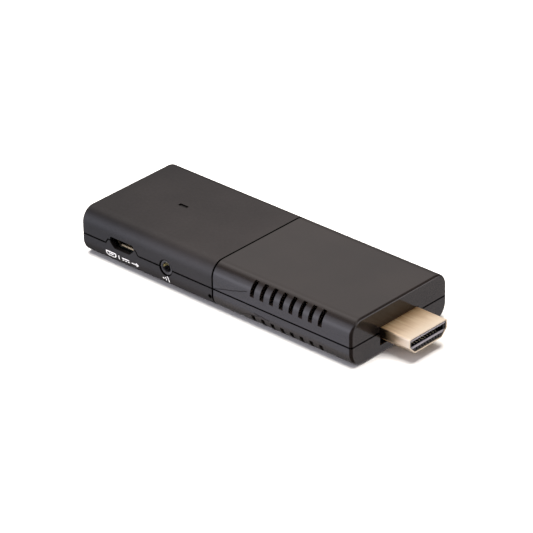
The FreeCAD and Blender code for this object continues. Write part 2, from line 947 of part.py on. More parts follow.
def reset_switch_base():
    """Moulded block under the board, hollow and open below, with a slot for the plunger's nose."""
    half = switch_width / 2
    back_y = switch_front_y + switch_depth
    base = box(switch_x - half, switch_x + half, switch_front_y, back_y, switch_low, board_underside)
    inner = half - switch_wall
    pocket = box(
        switch_x - inner, switch_x + inner, switch_front_y + switch_wall, back_y - switch_wall,
        switch_low - past, switch_slot_top())
    nose = plunger_nose_width / 2 + switch_clearance
    slot = box(
        switch_x - nose, switch_x + nose, switch_front_y - past, switch_front_y + switch_wall + past,
        switch_low - past, switch_slot_top())
    return cut(base, [pocket, slot])


def reset_switch_cover():
    """Sheet cover under the base, folded up along both of its sides."""
    half = switch_width / 2
    back_y = switch_front_y + switch_depth
    plate = box(
        switch_x - half - switch_metal, switch_x + half + switch_metal, switch_front_y, back_y,
        switch_low - switch_metal, switch_low)
    folds = []
    for side in (-1, 1):
        inner = switch_x + side * half
        outer = switch_x + side * (half + switch_metal)
        folds.append(box(
            min(inner, outer), max(inner, outer), switch_front_y, back_y,
            switch_low - switch_metal, switch_low + switch_ear_height))
    return fuse([plate] + folds)


def reset_switch_plunger():
    """Sliding piece with a narrow nose towards the pinhole and a wide head inside the switch."""
    low = switch_low + switch_clearance
    high = switch_slot_top() - switch_clearance
    nose = plunger_nose_width / 2
    head = plunger_head_width / 2
    tip_y = switch_front_y - plunger_nose_reach
    front_part = box(switch_x - nose, switch_x + nose, tip_y, plunger_head_back_y(), low, high)
    back_part = box(
        switch_x - head, switch_x + head, plunger_head_front_y(), plunger_head_back_y(), low, high)
    return fuse([front_part, back_part])


def reset_switch_dome():
    """Curved leaf spring that pushes the plunger back."""
    half = switch_width / 2 - switch_wall - switch_clearance
    crown_y = plunger_head_back_y() + plunger_rest_gap
    foot_y = crown_y + dome_rise
    low = switch_low + switch_clearance
    high = switch_slot_top() - switch_clearance

    def arc(start_x, end_x, shift):
        start = Vector(start_x, foot_y + shift, low)
        crown = Vector(switch_x, crown_y + shift, low)
        end = Vector(end_x, foot_y + shift, low)
        return Part.Arc(start, crown, end).toShape(), start, end

    front, front_start, front_end = arc(switch_x - half, switch_x + half, 0)
    back, back_start, back_end = arc(switch_x + half, switch_x - half, dome_metal)
    one_end = Part.makeLine(front_end, back_start)
    other_end = Part.makeLine(back_end, front_start)
    wire = Part.Wire([front, one_end, back, other_end])
    return Part.Face(wire).extrude(Vector(0, 0, high - low))


def reset_switch_terminals():
    """Two soldered feet beside the base."""
    middle_y = switch_front_y + switch_depth / 2
    z0 = board_underside - terminal_metal
    feet = []
    for side in (-1, 1):
        inner = switch_x + side * switch_width / 2
        outer = inner + side * terminal_reach
        feet.append(box(
            min(inner, outer), max(inner, outer), middle_y - terminal_width / 2,
            middle_y + terminal_width / 2, z0, board_underside))
    return Part.makeCompound(feet)


# Status light


def status_led():
    return block(light_x, 0, board_top, led_length, led_width, led_height)


def light_guide():
    """Clear pillar from the slot in the top down to the status light, with a flange under the wall."""
    foot = board_top + led_height + light_guide_gap
    pillar = light_slot(light_guide_clearance, foot, body_height - light_guide_recess)
    flange_length = light_slot_length + 2 * light_guide_flange_overhang
    flange_width = light_slot_width + 2 * light_guide_flange_overhang
    flange_low = ceiling - light_guide_flange_thickness
    flange = block(light_x, 0, flange_low, flange_length, flange_width, light_guide_flange_thickness)
    return fuse([pillar, flange])


# Chips and small parts


def chip(x, y, length, width, height):
    """Moulded package on top of the board, with bevelled upper edges and a mark at its first pin."""
    body = block(x, y, board_top, length, width, height)
    top = board_top + height
    edges = [e for e in body.Edges if all(abs(v.Z - top) < 1e-6 for v in e.Vertexes)]
    body = body.makeChamfer(chip_edge_chamfer, edges)
    mark_x = x - length / 2 + pin_mark_from_edge
    mark_y = y - width / 2 + pin_mark_from_edge
    return body.cut(upright(mark_x, mark_y, top - pin_mark_depth, top + past, pin_mark_radius))


def to_underside(shape):
    """The shape moved from the top of the board to its underside."""
    middle = (board_top + board_underside) / 2
    return shape.mirror(Vector(0, 0, middle), Vector(0, 0, 1))


def end_capped(x, y, length, width, height):
    """Small ceramic part along X with a metal cap on each end."""
    body = block(x, y, board_top + end_cap_thickness, length - 2 * end_cap_thickness, width, height)
    caps = []
    for side in (-1, 1):
        centre = x + side * (length - end_cap_length) / 2
        cap_width = width + 2 * end_cap_thickness
        cap_height = height + 2 * end_cap_thickness
        caps.append(block(centre, y, board_top, end_cap_length, cap_width, cap_height))
    return fuse([body] + caps)


def processor_chip():
    return chip(processor_x, 0, processor_size, processor_size, processor_height)


def thermal_pad():
    z = board_top + processor_height
    return block(processor_x, 0, z, processor_size, processor_size, thermal_pad_thickness)


def heat_sink():
    """Extruded block with fins that run from side to side, in line with the slots."""
    low = board_top + processor_height + thermal_pad_thickness
    high = ceiling - heat_sink_top_clearance
    base = block(processor_x, 0, low, heat_sink_size, heat_sink_size, heat_sink_base)
    pitch = (heat_sink_size - heat_sink_fin_thickness) / (heat_sink_fin_count - 1)
    fins = []
    for place in contact_places(heat_sink_fin_count, pitch):
        x = processor_x + place
        fins.append(block(x, 0, low, heat_sink_fin_thickness, heat_sink_size, high - low))
    return fuse([base] + fins)


def memory_chips():
    x = processor_x - processor_size / 2 - memory_from_processor - memory_length / 2
    chips = []
    for side in (-1, 1):
        chips.append(chip(x, side * memory_spacing / 2, memory_length, memory_width, memory_height))
    return Part.makeCompound(chips)


def flash_chip():
    return to_underside(chip(processor_x, 0, flash_length, flash_width, flash_height))


def power_chip():
    return chip(rear_x + power_from_rear, 0, power_chip_size, power_chip_size, power_chip_height)


def power_inductor(y):
    """Square moulded coil with cut corners and a round core on top."""
    x = rear_x + power_from_rear
    body = block(x, y, board_top, inductor_size, inductor_size, inductor_height)
    corners = [e for e in body.Edges if abs(e.Vertexes[0].Z - e.Vertexes[1].Z) > inductor_height / 2]
    body = body.makeChamfer(inductor_corner_cut, corners)
    top = board_top + inductor_height
    core = upright(x, y, top - past, top + inductor_core_height, inductor_core_diameter / 2)
    return fuse([body, core])


def power_inductors():
    return Part.makeCompound([power_inductor(side * inductor_spacing / 2) for side in (-1, 1)])


def bulk_capacitors():
    """Two moulded capacitors beside the power socket."""
    x = rear_x + bulk_capacitor_from_rear
    capacitors = []
    for from_side in bulk_capacitor_from_side:
        y = -side_y + from_side
        capacitors.append(
            end_capped(x, y, bulk_capacitor_length, bulk_capacitor_width, bulk_capacitor_height))
    return Part.makeCompound(capacitors)


def clock_crystal():
    """Ceramic base with a metal lid."""
    x = rear_x + crystal_from_rear
    base = block(x, crystal_from_centre, board_top, crystal_length, crystal_width, crystal_base_height)
    lid_length = crystal_length - 2 * crystal_lid_inset
    lid_width = crystal_width - 2 * crystal_lid_inset
    lid_height = crystal_base_height + crystal_lid_height
    lid = block(x, crystal_from_centre, board_top, lid_length, lid_width, lid_height)
    return fuse([base, lid])


def ceramic_capacitors():
    """Rows along both edges of the board beside the processor, above and below."""
    middle_x = front_x - ceramic_row_from_front
    y = side_y - ceramic_row_from_side
    row = []
    for place in contact_places(ceramic_count, ceramic_pitch):
        one = end_capped(middle_x + place, y, ceramic_length, ceramic_width, ceramic_height)
        row += both_sides(one)
    return Part.makeCompound(row + [to_underside(one) for one in row])


def chip_resistors():
    """Row across the board behind the video plug."""
    x = front_x - resistor_from_front
    row = []
    for y in contact_places(resistor_count, resistor_pitch):
        row.append(end_capped(x, y, resistor_length, resistor_width, resistor_height))
    return Part.makeCompound(row)


def surge_protection_chips():
    """Two small packages on the video lines."""
    x = front_x - protection_from_front
    chips = []
    for side in (-1, 1):
        y = side * protection_spacing / 2
        chips.append(chip(x, y, protection_length, protection_width, protection_height))
    return Part.makeCompound(chips)


def wireless_place():
    return rear_x + wireless_from_rear, wireless_from_centre


def wireless_board():
    x, y = wireless_place()
    return block(x, y, board_top, wireless_size, wireless_size, wireless_board_thickness)


def wireless_shield():
    """Drawn metal can over the wireless module, open below."""
    x, y = wireless_place()
    size = wireless_size - 2 * shield_inset
    low = board_top + wireless_board_thickness
    upwards = Vector(0, 0, 1)
    outside = rounded_along(block(x, y, low, size, size, shield_height), upwards, shield_corner_radius)
    inner = size - 2 * shield_metal
    inside = block(x, y, low - past, inner, inner, past + shield_height - shield_metal)
    inside = rounded_along(inside, upwards, shield_corner_radius - shield_metal)
    return outside.cut(inside)


def antenna():
    """Stamped bar over the board's rear edge, on two legs."""
    x0 = board_rear_x + antenna_from_board_end
    x1 = x0 + antenna_metal
    half = antenna_length / 2
    high = board_top + antenna_height
    bar = box(x0, x1, -half, half, high - antenna_bar_height, high)
    legs = []
    for y in (-half, -half + antenna_leg_spacing):
        legs.append(box(x0, x1, y, y + antenna_leg_width, board_top, high))
    return fuse([bar] + legs)


# Every piece, by the name of its file

pieces = housing_shells()
for make_piece in (
        light_guide, main_board, hdmi_plug_shell, hdmi_plug_insulator, hdmi_upper_contacts,
        hdmi_lower_contacts, usb_socket_shell, usb_socket_tongue, usb_socket_contacts,
        infrared_jack_body, infrared_jack_contacts, reset_switch_base, reset_switch_cover,
        reset_switch_plunger, reset_switch_dome, reset_switch_terminals, status_led,
        processor_chip, thermal_pad, heat_sink, memory_chips, flash_chip, power_chip,
        power_inductors, bulk_capacitors, clock_crystal, ceramic_capacitors, chip_resistors,
        surge_protection_chips, wireless_board, wireless_shield, antenna):
    pieces[make_piece.__name__] = make_piece()

os.makedirs("parts", exist_ok=True)
for name, shape in pieces.items():
    shape.exportStep("parts/" + name + ".step")
    print(name, "solids", len(shape.Solids), "valid", shape.isValid(), "volume", round(shape.Volume, 3))
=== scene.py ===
# %% [markdown]
# # A streaming stick, dressed for the camera
# The object is a flat black stick that plugs into the side of a television. Its exact solids were made
# in a CAD program and are loaded here as a fixed frame. Blender adds what solids alone can't show: the
# light, the finish of every plastic and metal, and the white marks printed beside the sockets.
# Everything is in metres, in the frame of the solids: +X towards the video plug, -Y the side with the
# sockets, +Z up. Sizes on the object are written in millimetres and turned to metres where they are used.

import json
import math

import bmesh
import bpy
from mathutils import Matrix, Vector

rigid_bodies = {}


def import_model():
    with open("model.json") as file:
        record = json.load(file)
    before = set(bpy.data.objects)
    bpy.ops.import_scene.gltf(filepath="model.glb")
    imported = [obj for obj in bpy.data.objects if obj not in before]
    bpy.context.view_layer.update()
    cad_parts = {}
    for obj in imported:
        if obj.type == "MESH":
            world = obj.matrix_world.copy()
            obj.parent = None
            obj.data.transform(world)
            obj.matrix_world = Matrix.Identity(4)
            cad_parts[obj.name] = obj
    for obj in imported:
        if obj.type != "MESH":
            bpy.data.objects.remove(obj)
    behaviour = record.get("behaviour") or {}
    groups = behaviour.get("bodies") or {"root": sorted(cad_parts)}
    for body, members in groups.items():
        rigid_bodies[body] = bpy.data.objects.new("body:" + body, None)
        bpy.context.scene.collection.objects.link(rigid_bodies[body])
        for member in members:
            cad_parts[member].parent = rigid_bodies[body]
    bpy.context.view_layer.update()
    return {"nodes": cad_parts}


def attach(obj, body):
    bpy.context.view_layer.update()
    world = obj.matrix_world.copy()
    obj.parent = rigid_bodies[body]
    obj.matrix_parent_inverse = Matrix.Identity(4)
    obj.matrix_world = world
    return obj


for leftover in list(bpy.data.objects):
    bpy.data.objects.remove(leftover)
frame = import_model()
nodes = frame["nodes"]

# %% [markdown]
# ## The camera
# The photograph was taken from the front right corner, a little above the stick, from far away with a
# long lens, so parallel edges stay almost parallel. The angles and the lens were found by fitting the
# corners of the housing to the picture. A camera could also be aimed with a Track To constraint, but
# here the axes are written straight into its matrix, because the picture is also tilted a little.

# %% Camera
view_azimuth = math.radians(42.86)
view_elevation = math.radians(28.85)
view_roll = math.radians(-1.01)
view_distance = 1.0
view_target = Vector((0.000707, -0.003933, 0.008466))
lens_length = 274.6
sensor_width = 36.0
nearest_seen = 0.05
farthest_seen = 20.0


def towards(azimuth, elevation):
    """Unit vector at an azimuth, counted from -Y towards +X, and an elevation, both in radians."""
    return Vector((
        math.sin(azimuth) * math.cos(elevation),
        -math.cos(azimuth) * math.cos(elevation),
        math.sin(elevation),
    ))


back = towards(view_azimuth, view_elevation)
level_right = Vector((math.cos(view_azimuth), math.sin(view_azimuth), 0))
level_up = back.cross(level_right)
right = math.cos(view_roll) * level_right + math.sin(view_roll) * level_up
up = back.cross(right)

camera_data = bpy.data.cameras.new("camera")
camera_data.lens = lens_length
camera_data.sensor_width = sensor_width
camera_data.clip_start = nearest_seen
camera_data.clip_end = farthest_seen
camera = bpy.data.objects.new("camera", camera_data)
bpy.context.scene.collection.objects.link(camera)
axes = Matrix((right, up, back)).transposed()
camera.matrix_world = Matrix.Translation(view_target + back * view_distance) @ axes.to_4x4()
bpy.context.scene.camera = camera
print("camera at", [round(c, 4) for c in camera.matrix_world.translation])

# %% [markdown]
# ## Colour and size
# Colours are written as the hex values that a picture shows, and one function turns them into the
# linear values that the renderer computes with, by the standard curve: a straight toe for the darkest
# values and a power for the rest. Two more turn sizes in millimetres into metres and pattern scales.

# %% Helpers for colour and size
bpy.context.scene.view_settings.view_transform = "Standard"
toe_end = 0.04045
toe_slope = 12.92
curve_offset = 0.055
curve_power = 2.4


def linear(hex_colour):
    """Linear red, green, blue and alpha of a colour written as sRGB hex."""
    channels = []
    for start in (1, 3, 5):
        value = int(hex_colour[start:start + 2], 16) / 255
        curved = ((value + curve_offset) / (1 + curve_offset)) ** curve_power
        channels.append(value / toe_slope if value <= toe_end else curved)
    return (*channels, 1.0)


def mm(*values):
    """Millimetres as metres."""
    return values[0] / 1000 if len(values) == 1 else tuple(v / 1000 for v in values)


def per(size_in_mm):
    """Scale of a pattern whose features are this many millimetres apart."""
    return 1000 / size_in_mm


print("#808080 in linear light:", round(linear("#808080")[0], 3), "scale of a 0.5 mm pattern:", per(0.5))

# %% [markdown]
# ## Nodes
# Every shader node in this file is added by one small function that takes the node's settings, its
# unlinked values and its links. The Mix node has its own pair of inputs for each kind of value, all with
# the same names, so its colour inputs and output are called by number.

# %% One function for all nodes
colour_one = 6
colour_other = 7
colour_mixed = 2


def add(tree, kind, values=None, links=None, **settings):
    """One shader node: settings are its properties, values its unlinked inputs, links its linked ones."""
    made = tree.nodes.new("ShaderNode" + kind)
    for name, value in settings.items():
        setattr(made, name, value)
    for name, value in (values or {}).items():
        made.inputs[name].default_value = value
    for name, source in (links or {}).items():
        tree.links.new(source, made.inputs[name])
    return made


print("colour inputs of a Mix node:", colour_one, "and", colour_other)

# %% [markdown]
# ## The studio
# A dark glossy object shows mostly what stands round it. Every face that runs along the stick mirrors one
# direction of a ring round its long axis: the flat side mirrors the white table in front of it, the
# rounded upper edge mirrors first a bright strip at eye height and then a narrow dark gap between two
# lamps, and the top mirrors the pale, slightly warm far wall. So the world is painted with that ring, and
# its first nodes measure how far a direction is turned round the stick's long axis, counted from the near
# side (-Y) upwards. Real lamps and boards could do the same, but they would stand in the way when the
# object is looked at from behind.

# %% Turn round the long axis
world = bpy.data.worlds.new("studio")
world.use_nodes = True
bpy.context.scene.world = world
sky = world.node_tree
sky.nodes.clear()
direction = add(sky, "TexCoord").outputs["Generated"]
parts = add(sky, "SeparateXYZ", links={0: direction}).outputs
nearer = add(sky, "Math", {1: -1.0}, {0: parts["Y"]}, operation="MULTIPLY").outputs["Value"]
turn = add(sky, "Math", links={0: parts["Z"], 1: nearer}, operation="ARCTAN2").outputs["Value"]
share = add(sky, "MapRange", {"From Min": -math.pi, "From Max": math.pi}, {"Value": turn}).outputs["Result"]
print("world nodes that measure the turn:", len(sky.nodes))

# %% [markdown]
# ### Ring of light
# A colour ramp gives each angle of the turn its brightness and tint, and blends them in between. A ramp
# holds colours up to one, so every brightness is divided by the highest, and the world's strength
# multiplies it back.

# %% Ring of light round the stick
cool_white = "#EEEFFF"
plain_white = "#FFF8FA"
warm_white = "#FFF8F6"
peak_light = 2.5
# Each entry is an angle in degrees, a brightness and a tint.
ring = [
    (-180, 0.25, plain_white), (-144, 0.72, plain_white), (-90, 0.52, plain_white),
    (-72, 0.47, plain_white), (-54, 0.76, plain_white), (-36, 1.33, cool_white),
    (-12, 1.66, cool_white), (0, 2.30, cool_white), (12, 2.50, cool_white), (24, 1.80, cool_white),
    (36, 1.45, cool_white), (47, 1.08, cool_white), (58, 0.42, cool_white), (71, 0.28, warm_white),
    (83, 0.55, warm_white), (95, 1.08, warm_white), (107, 1.32, warm_white), (120, 0.88, warm_white),
    (143, 0.71, warm_white), (165, 0.25, warm_white), (180, 0.25, plain_white),
]
ramp = add(sky, "ValToRGB", links={"Fac": share})
bands = ramp.color_ramp.elements
bands.remove(bands[0])
for number, (degrees, brightness, tint) in enumerate(ring):
    position = (degrees + 180) / 360
    band = bands[0] if number == 0 else bands.new(position)
    band.position = position
    band.color = (*[channel * brightness / peak_light for channel in linear(tint)[:3]], 1.0)
print("ring of", len(bands), "bands")

# %% [markdown]
# ## Cards
# A photographer holds up cards to darken or brighten one reflection at a time. Here a card is a soft
# round patch of the world in one direction, which multiplies the ring's light: a change below one makes
# a dark card, above one a lamp. It changes the light fully within one angle and fades out by another.

# %% Cards that darken or brighten single directions


def card(strength, azimuth, elevation, full, faded, change):
    """The strength times a soft round card, with all its angles in degrees."""
    azimuth, elevation, full, faded = [math.radians(angle) for angle in (azimuth, elevation, full, faded)]
    near = add(sky, "VectorMath", {1: towards(azimuth, elevation)}, {0: direction},
               operation="DOT_PRODUCT").outputs["Value"]
    factor = add(sky, "MapRange", {"From Min": math.cos(faded), "From Max": math.cos(full), "To Min": 1.0,
                                   "To Max": change}, {"Value": near},
                 interpolation_type="SMOOTHSTEP").outputs["Result"]
    return add(sky, "Math", links={0: strength, 1: factor}, operation="MULTIPLY").outputs["Value"]


strength = add(sky, "Value").outputs["Value"]
strength.default_value = peak_light
# The unlit room behind and below the camera is the black line down the near front corner.
strength = card(strength, azimuth=42.5, elevation=-28, full=56, faded=70, change=0.03)
# The shaded table beyond the rear end keeps the lower edges there dark.
strength = card(strength, azimuth=-130, elevation=-38, full=12, faded=50, change=0.25)
# A dark board high beyond the plug lets the front face show the plug's mirror image.
strength = card(strength, azimuth=145, elevation=37, full=22, faded=42, change=0.15)
# A small bright lamp low beyond the plug draws the light line along the front edge of the top.
strength = card(strength, azimuth=130, elevation=2, full=10, faded=22, change=6.0)
background = add(sky, "Background", links={"Color": ramp.outputs["Color"], "Strength": strength})
add(sky, "OutputWorld", links={"Surface": background.outputs["Background"]})
print("world of", len(sky.nodes), "nodes")

# %% [markdown]
# ## Overhead light
# The floor in the photograph is pure white, with a soft dark rim only where the stick stands. A large
# soft box overhead gives that. It is hidden from reflections, so that it doesn't show as a bright window
# on the black plastic.

# %% Soft box
softbox_width = 1.1
softbox_power = 44.0
softbox_place = (-0.2, 0.0, 1.3)
softbox_data = bpy.data.lights.new("softbox", "AREA")
softbox_data.shape = "SQUARE"
softbox_data.size = softbox_width
softbox_data.energy = softbox_power
softbox = bpy.data.objects.new("softbox", softbox_data)
softbox.location = softbox_place
softbox.rotation_euler = (Vector((0, 0, 0)) - softbox.location).to_track_quat("-Z", "Y").to_euler()
softbox.visible_glossy = False
softbox.visible_camera = False
bpy.context.scene.collection.objects.link(softbox)
print("soft box", softbox_width, "m wide at", softbox_place)

# %% [markdown]
# ## Floor
# The floor is a plain grid. It is hidden from reflections, because the ring above stands for it there. It
# lies a hair lower than the stick's underside, so that no two surfaces share one height, and it is
# painted on its upper face only, so that the stick can also be looked at from below.

# %% Floor with one painted face
floor_size = 6.0
floor_z = -0.02
floor_mesh = bmesh.new()
bmesh.ops.create_grid(floor_mesh, x_segments=1, y_segments=1, size=floor_size / 2,
                      matrix=Matrix.Translation((0, 0, mm(floor_z))))
floor_data = bpy.data.meshes.new("floor")
floor_mesh.to_mesh(floor_data)
floor_mesh.free()
floor = bpy.data.objects.new("floor", floor_data)
bpy.context.scene.collection.objects.link(floor)
floor.visible_glossy = False

floor_paint = bpy.data.materials.new("White matt paint")
floor_paint.use_nodes = True
floor_tree = floor_paint.node_tree
floor_tree.nodes.clear()
spread = add(floor_tree, "BsdfDiffuse", {"Color": linear("#F6F3EE"), "Roughness": 0.5})
from_below = add(floor_tree, "NewGeometry").outputs["Backfacing"]
unseen = add(floor_tree, "BsdfTransparent").outputs["BSDF"]
one_sided = add(floor_tree, "MixShader", links={0: from_below, 1: spread.outputs["BSDF"], 2: unseen})
add(floor_tree, "OutputMaterial", links={"Surface": one_sided.outputs["Shader"]})
floor_data.materials.append(floor_paint)
print("floor", floor_size, "m wide")

# %% [markdown]
# ## Starting a finish
# Every finish below begins the same way: a new material, the object's own coordinates and one principled
# shader. The coordinates are in metres, so a pattern's scale follows from the real size of its grain.

# %% Start a finish and give it to nodes


def finish_for(name, colour, roughness, **more):
    """A new material with its node tree, its principled shader and the object coordinates."""
    material = bpy.data.materials.new(name)
    material.use_nodes = True
    tree = material.node_tree
    tree.nodes.clear()
    place = add(tree, "TexCoord").outputs["Object"]
    values = {"Base Color": linear(colour), "Roughness": roughness}
    values.update({key.replace("_", " "): value for key, value in more.items()})
    shader = add(tree, "BsdfPrincipled", values)
    add(tree, "OutputMaterial", links={"Surface": shader.outputs["BSDF"]})
    return material, tree, shader, place


def dress(material, *names):
    """Gives a finish to CAD nodes, in place of the plain one they came with."""
    for name in names:
        nodes[name].data.materials.clear()
        nodes[name].data.materials.append(material)
    print(material.name, "on", ", ".join(names))


print("nodes that wait for a finish:", len(nodes))

# %% [markdown]
# ## Grain
# Moulding, rolling and rubbing all leave a fine uneven grain. One noise pattern stands for each of them,
# stretched where the grain has a direction, and such a pattern then drives the colour, the roughness or
# the relief. Nearly all of the noise lies between two values, which stand for its darkest and its palest
# places.

# %% Grain and what follows it
grain_low = 0.3
grain_high = 0.7


def grain(tree, place, size, detail=2.0, stretch=None):
    """Grey grain whose features are size millimetres apart, stretched along an axis if asked."""
    if stretch:
        place = add(tree, "Mapping", {"Scale": stretch}, {"Vector": place}).outputs["Vector"]
    return add(tree, "TexNoise", {"Scale": per(size), "Detail": detail}, {"Vector": place}).outputs["Fac"]


def vary_roughness(tree, shader, pattern, low, high):
    """Roughness that follows a pattern between two values."""
    ranged = add(tree, "MapRange", {"From Min": grain_low, "From Max": grain_high, "To Min": low,
                                    "To Max": high}, {"Value": pattern})
    tree.links.new(ranged.outputs["Result"], shader.inputs["Roughness"])


def vary_colour(tree, shader, pattern, one, other):
    """Base colour that follows a pattern between two hex colours."""
    ranged = add(tree, "MapRange", {"From Min": grain_low, "From Max": grain_high}, {"Value": pattern})
    mixed = add(tree, "Mix", {colour_one: linear(one), colour_other: linear(other)},
                {0: ranged.outputs["Result"]}, data_type="RGBA").outputs[colour_mixed]
    tree.links.new(mixed, shader.inputs["Base Color"])
    return mixed


def raise_grain(tree, shader, pattern, depth):
    """Bump whose height is depth millimetres."""
    bump = add(tree, "Bump", {"Distance": mm(depth), "Strength": 1.0}, {"Height": pattern})
    tree.links.new(bump.outputs["Normal"], shader.inputs["Normal"])


print("grain counts from", grain_low, "to", grain_high)

# %% [markdown]
# ## Grooves between the shells
# The four shells meet in narrow grooves that show as black lines, because their walls see hardly any light.
# That darkness is painted shade: a metal of nearly black colour mirrors far less than plastic does, so the
# walls, and a hair of the rims beside them, are found from X and Z and turned to that. The power socket's
# tab carries its groove higher up, so the shade leaves it out.

# %% Shade in the grooves
seam_x = -4.825
seam_half_width = 0.27
parting_z = 5.95
parting_half_width = 0.22
power_socket_x = -35.755
tab_half_width = 5.9


# Painted shade in the grooves between the shells.
def shade_in_grooves(tree, place):
    """One in the seam and in the parting groove, nought elsewhere."""
    at = add(tree, "SeparateXYZ", links={0: place}).outputs
    seam = add(tree, "Math", {1: mm(seam_x), 2: mm(seam_half_width)}, {0: at["X"]},
               operation="COMPARE").outputs[0]
    parting = add(tree, "Math", {1: mm(parting_z), 2: mm(parting_half_width)}, {0: at["Z"]},
                  operation="COMPARE").outputs[0]
    beside_tab = add(tree, "Math", {1: mm(power_socket_x), 2: mm(tab_half_width)}, {0: at["X"]},
                     operation="COMPARE").outputs[0]
    near_side = add(tree, "Math", {1: 0.0}, {0: at["Y"]}, operation="LESS_THAN").outputs[0]
    tab = add(tree, "Math", links={0: beside_tab, 1: near_side}, operation="MULTIPLY").outputs[0]
    open_part = add(tree, "Math", links={0: parting, 1: tab}, operation="SUBTRACT",
                    use_clamp=True).outputs[0]
    return add(tree, "Math", links={0: seam, 1: open_part}, operation="MAXIMUM").outputs[0]


print("shade on", 2 * seam_half_width, "mm at the seam,", 2 * parting_half_width, "mm at the parting")

# %% [markdown]
# ## Rims of the small openings
# The slot for the light, the reset pinhole and the hole round the jack are moulded with a tiny rounded
# rim that turns away from the light, so they look a little larger and blacker than they are. The solids
# have sharp rims, so a hair of painted shade round each opening gives the same look without more faces.

# %% Shade round the light slot, the pinhole and the jack
light_x = -30.975
light_slot_length = 2.8
light_slot_width = 1.0
slot_rim = 0.06
round_openings = {
    "pinhole": {"x": -5.765, "z": 3.49, "radius": 0.475},
    "jack": {"x": -20.625, "z": 6.05, "radius": 2.1},
}
round_rim = 0.18
side_faces_from_y = -12.0


# Painted shade round the light slot and the round openings.
def shade_round_openings(tree, place):
    """One on the rims of the light slot and the round openings, nought elsewhere."""
    at = add(tree, "SeparateXYZ", links={0: place}).outputs
    along = add(tree, "Math", {1: mm(light_x), 2: mm(light_slot_length / 2 + slot_rim)}, {0: at["X"]},
                operation="COMPARE").outputs[0]
    across = add(tree, "Math", {1: 0.0, 2: mm(light_slot_width / 2 + slot_rim)}, {0: at["Y"]},
                 operation="COMPARE").outputs[0]
    shade = add(tree, "Math", links={0: along, 1: across}, operation="MULTIPLY").outputs[0]
    near_side = add(tree, "Math", {1: mm(side_faces_from_y)}, {0: at["Y"]},
                    operation="LESS_THAN").outputs[0]
    flat = add(tree, "VectorMath", {1: (1, 0, 1)}, {0: place}, operation="MULTIPLY").outputs["Vector"]
    for opening in round_openings.values():
        away = add(tree, "VectorMath", {1: mm(opening["x"], 0, opening["z"])}, {0: flat},
                   operation="DISTANCE").outputs["Value"]
        close = add(tree, "Math", {1: mm(opening["radius"] + round_rim)}, {0: away},
                    operation="LESS_THAN").outputs[0]
        ring_round = add(tree, "Math", links={0: close, 1: near_side}, operation="MULTIPLY").outputs[0]
        shade = add(tree, "Math", links={0: shade, 1: ring_round}, operation="MAXIMUM").outputs[0]
    return shade


print("dark rims round the light slot and", ", ".join(round_openings))

# %% [markdown]
# ## Satin shells
# The rear half is ABS, moulded in a steel mould that was spark eroded to a fine even grain. The grain
# breaks up reflections, so the eye sees a soft dark grey with no clear highlights. Real grain of that
# kind is about 0.05 mm wide, too fine for this picture, so it is drawn at 0.35 mm and very shallow. In
# the photograph this half grows a little paler towards the seam, and that is painted light: the colour
# follows X, with a slow cloudy drift on top. A second light could do the same, but it would also
# brighten the front half.

# %% Satin moulded ABS
rear_end_x = -49.6
painted_light_at_rear = 0.05
painted_light_at_seam = 0.45
drift = 0.5
satin, tree, shader, place = finish_for("Satin moulded ABS", "#171313", roughness=0.45, IOR=1.54,
                                        Specular_IOR_Level=0.42)
along = add(tree, "SeparateXYZ", links={0: place}).outputs["X"]
# Painted light: the colour grows paler from the rear end towards the seam.
towards_seam = add(tree, "MapRange", {"From Min": mm(rear_end_x), "From Max": mm(seam_x),
                                      "To Min": painted_light_at_rear, "To Max": painted_light_at_seam},
                   {"Value": along}).outputs["Result"]
cloudy = grain(tree, place, size=16, detail=3)
mottled = add(tree, "Math", {1: drift}, {0: cloudy, 2: towards_seam}, operation="MULTIPLY_ADD").outputs[0]
vary_colour(tree, shader, mottled, "#0E0B0B", "#1F1B1A")
vary_roughness(tree, shader, grain(tree, place, size=0.8, detail=4), low=0.42, high=0.48)
raise_grain(tree, shader, grain(tree, place, size=0.35), depth=0.004)
# Painted shade in the grooves and round the openings, as a nearly black metal.
dark = add(tree, "Math", links={0: shade_in_grooves(tree, place), 1: shade_round_openings(tree, place)},
           operation="MAXIMUM").outputs[0]
tree.links.new(dark, shader.inputs["Metallic"])
dress(satin, "rear_upper_shell", "rear_lower_shell")

# %% [markdown]
# ## Polished covers
# The front half is the same plastic from a polished mould, with a slightly warmer black. It mirrors the
# plug and the studio, but not as calmly as glass: plastic shrinks unevenly as it cools, and the skin is
# left with shallow waves several millimetres long, deepest low down and beside the seam. One height
# pattern, with a strength that follows X and Z, gives them.

# %% Polished moulded ABS with shallow waves
wave_depth = 0.5
full_waves_below_z = 8.0
calm_from_z = 12.0
calm_share_above = 0.2
calm_from_x = 22.0
calm_share_ahead = 0.3
polished, tree, shader, place = finish_for("Polished moulded ABS", "#181312", roughness=0.11, IOR=1.54)
vary_colour(tree, shader, grain(tree, place, size=20, detail=3), "#151110", "#1B1614")
vary_roughness(tree, shader, grain(tree, place, size=3, detail=4), low=0.08, high=0.14)
where = add(tree, "SeparateXYZ", links={0: place}).outputs
low_down = add(tree, "MapRange", {"From Min": mm(full_waves_below_z), "From Max": mm(calm_from_z),
                                  "To Min": 1.0, "To Max": calm_share_above},
               {"Value": where["Z"]}).outputs["Result"]
near_seam = add(tree, "MapRange", {"From Min": mm(seam_x), "From Max": mm(calm_from_x), "To Min": 1.0,
                                   "To Max": calm_share_ahead}, {"Value": where["X"]}).outputs["Result"]
wavy = add(tree, "Math", links={0: low_down, 1: near_seam}, operation="MULTIPLY").outputs[0]
waves = add(tree, "Bump", {"Distance": mm(wave_depth)},
            {"Height": grain(tree, place, size=6, detail=3, stretch=(0.5, 1, 1)), "Strength": wavy})
tree.links.new(waves.outputs["Normal"], shader.inputs["Normal"])
print("waves up to", wave_depth, "mm deep")
